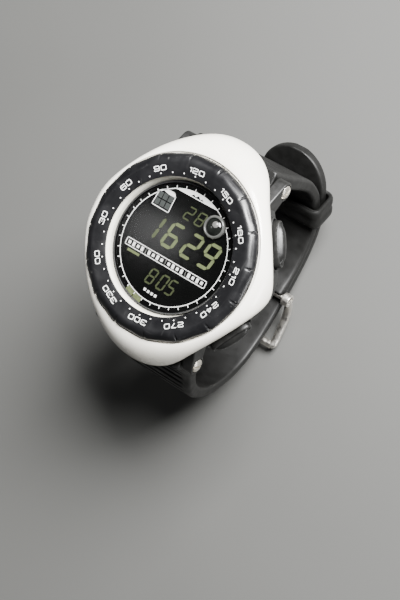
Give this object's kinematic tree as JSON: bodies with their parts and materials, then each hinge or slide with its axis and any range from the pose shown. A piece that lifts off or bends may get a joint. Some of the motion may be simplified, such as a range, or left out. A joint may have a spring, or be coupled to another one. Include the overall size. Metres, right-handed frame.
{
  "type": "dive computer",
  "caption": "Wrist computer: round digital watch with turning degree bezel, four side buttons, coin-slot battery hatch and buckled rubber strap.",
  "frame": {"origin": "centre of the case back's outer face, where it lies on the wrist", "axes": "+Z out of the display, +Y towards the 12 o'clock strap lug, +X towards 3 o'clock"},
  "size_m": [0.0576, 0.079, 0.0755],
  "materials": {
    "cover": "glossy warm white moulded plastic",
    "reflector": "cream plastic ring",
    "case": "fine moulded black",
    "bezel": "semi-gloss black with worn edges and white numerals",
    "button": "satin dark grey",
    "rubber": "satin black elastomer",
    "seal": "soft black rubber",
    "lens": "clear polished",
    "display": "black negative display with green-grey digits",
    "backlight": "pale green film",
    "module": "natural moulding",
    "board": "green laminate",
    "chip": "black epoxy",
    "brass": "plain",
    "steel": "polished stainless"
  },
  "bodies": {
    "watch": {"backlight_panel": "backlight", "battery": "steel", "battery_contact": "brass", "bezel_spring": "steel", "buckle_bar": "steel", "button_seal_lower_left": "seal", "button_seal_lower_right": "seal", "button_seal_upper_left": "seal", "button_seal_upper_right": "seal", "button_spring_lower_left": "steel", "button_spring_lower_right": "steel", "button_spring_upper_left": "steel", "button_spring_upper_right": "steel", "buzzer": "brass", "case_back": "steel", "case_body": "case", "case_gasket": "seal", "case_screw_1": "steel", "case_screw_2": "steel", "case_screw_3": "steel", "case_screw_4": "steel", "circuit_board": "board", "compass_sensor": "chip", "display_connector_lower": "seal", "display_connector_upper": "seal", "inner_ring": "reflector", "lcd_panel": "display", "lens": "lens", "lens_gasket": "seal", "level_vial": "lens", "lug_pin_lower": "steel", "lug_pin_upper": "steel", "lug_screw_lower_left": "steel", "lug_screw_lower_right": "steel", "lug_screw_upper_left": "steel", "lug_screw_upper_right": "steel", "module_frame": "module", "pressure_sensor": "steel", "processor_chip": "chip", "strap_long": "rubber", "strap_short": "rubber", "top_cover": "cover"},
    "bezel": {"bezel_ring": "bezel"},
    "battery_hatch": {"battery_cover": "steel", "battery_cover_gasket": "seal"},
    "buckle": {"buckle_frame": "steel"},
    "tongue": {"buckle_tongue": "steel"},
    "keeper": {"strap_keeper": "rubber"},
    "button_upper_right": {"button_upper_right": "button", "button_clip_upper_right": "steel"},
    "button_upper_left": {"button_upper_left": "button", "button_clip_upper_left": "steel"},
    "button_lower_left": {"button_lower_left": "button", "button_clip_lower_left": "steel"},
    "button_lower_right": {"button_lower_right": "button", "button_clip_lower_right": "steel"}
  },
  "joints": [
    {"name": "bezel_turn", "type": "hinge", "parent": "watch", "child": "bezel", "pos_m": [0, 0, 0.014], "axis": [0, 0, 1], "continuous": true},
    {"name": "hatch_turn", "type": "hinge", "parent": "watch", "child": "battery_hatch", "pos_m": [0, 0, 0.001], "axis": [0, 0, 1], "range_deg": [0, 90]},
    {"name": "buckle_lift", "type": "hinge", "parent": "watch", "child": "buckle", "pos_m": [0, -0.0044, -0.0491], "axis": [1, 0, 0], "range_deg": [0, 22]},
    {"name": "tongue_lift", "type": "hinge", "parent": "buckle", "child": "tongue", "pos_m": [0, -0.0044, -0.0491], "axis": [1, 0, 0], "range_deg": [0, 8]},
    {"name": "keeper_slide", "type": "slide", "parent": "watch", "child": "keeper", "axis": [0, 0.6326, 0.7745], "range_m": [-0.0003, 0.001]},
    {"name": "press_upper_right", "type": "slide", "parent": "watch", "child": "button_upper_right", "axis": [-0.866, -0.5, 0], "range_m": [0, 0.0008], "stiffness_N_per_m": 1200, "springref_m": -0.0008, "deforming": ["button_spring_upper_right"]},
    {"name": "press_upper_left", "type": "slide", "parent": "watch", "child": "button_upper_left", "axis": [0.866, -0.5, 0], "range_m": [0, 0.0008], "stiffness_N_per_m": 1200, "springref_m": -0.0008, "deforming": ["button_spring_upper_left"]},
    {"name": "press_lower_left", "type": "slide", "parent": "watch", "child": "button_lower_left", "axis": [0.866, 0.5, 0], "range_m": [0, 0.0008], "stiffness_N_per_m": 1200, "springref_m": -0.0008, "deforming": ["button_spring_lower_left"]},
    {"name": "press_lower_right", "type": "slide", "parent": "watch", "child": "button_lower_right", "axis": [-0.866, 0.5, 0], "range_m": [0, 0.0008], "stiffness_N_per_m": 1200, "springref_m": -0.0008, "deforming": ["button_spring_lower_right"]}
  ]
}
